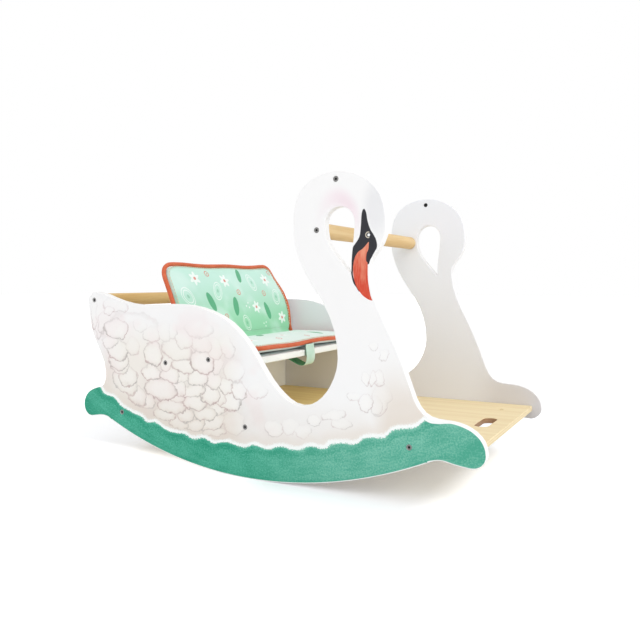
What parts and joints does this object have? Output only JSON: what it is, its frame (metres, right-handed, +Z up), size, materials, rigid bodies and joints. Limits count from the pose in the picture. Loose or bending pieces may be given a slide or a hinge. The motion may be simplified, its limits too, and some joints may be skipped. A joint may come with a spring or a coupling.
{
  "type": "rocking toy",
  "caption": "Swan-shaped rocking toy for a small child: two rocker side panels, foot board, cushioned seat, handlebar and rear rail",
  "frame": {"origin": "on the ground below the middle of the toy's bounding box", "axes": "+X towards the swans' beaks (the child looks this way), +Y to the child's left, +Z up"},
  "size_m": [0.795, 0.425, 0.506],
  "materials": {
    "printed_panel": "white-painted plywood with a printed feather and water pattern outside, satin",
    "natural_plywood": "bare birch plywood, clear satin lacquer",
    "painted_board": "white-painted board, satin",
    "beech_bar": "turned beech, clear satin lacquer",
    "cushion_cloth": "soft mint cotton print over foam",
    "piping_cloth": "orange-red corded piping",
    "webbing": "pale green cotton webbing",
    "hook_patch": "hook tape",
    "dark_steel": "blackened steel screws with hexagon sockets",
    "zinc_insert": "zinc-plated threaded inserts",
    "beech_pin": "plain beech pins"
  },
  "bodies": {
    "root": {"right_side_panel": "printed_panel", "left_side_panel": "printed_panel", "floor_board": "natural_plywood", "seat_board": "painted_board", "seat_riser": "painted_board", "backrest_board": "painted_board", "handlebar": "beech_bar", "rear_rail": "beech_bar", "seat_cushion": "cushion_cloth", "back_cushion": "cushion_cloth", "cushion_fold": "cushion_cloth", "cushion_piping": "piping_cloth", "seat_strap": "webbing", "strap_patch": "hook_patch", "handlebar_bolt_1": "dark_steel", "handlebar_bolt_2": "dark_steel", "rear_rail_bolt_1": "dark_steel", "rear_rail_bolt_2": "dark_steel", "floor_board_screw_1": "dark_steel", "floor_board_screw_2": "dark_steel", "floor_board_screw_3": "dark_steel", "floor_board_screw_4": "dark_steel", "floor_board_screw_5": "dark_steel", "floor_board_screw_6": "dark_steel", "seat_board_screw_1": "dark_steel", "seat_board_screw_2": "dark_steel", "seat_riser_screw_1": "dark_steel", "seat_riser_screw_2": "dark_steel", "backrest_screw_1": "dark_steel", "backrest_screw_2": "dark_steel", "backrest_screw_3": "dark_steel", "head_screw_1": "dark_steel", "head_screw_2": "dark_steel", "head_sleeve_1": "dark_steel", "head_sleeve_2": "dark_steel", "handlebar_insert_1": "zinc_insert", "handlebar_insert_2": "zinc_insert", "rear_rail_insert_1": "zinc_insert", "rear_rail_insert_2": "zinc_insert", "riser_pin_1": "beech_pin", "riser_pin_2": "beech_pin", "seat_pin_1": "beech_pin", "seat_pin_2": "beech_pin"}
  },
  "joints": []
}
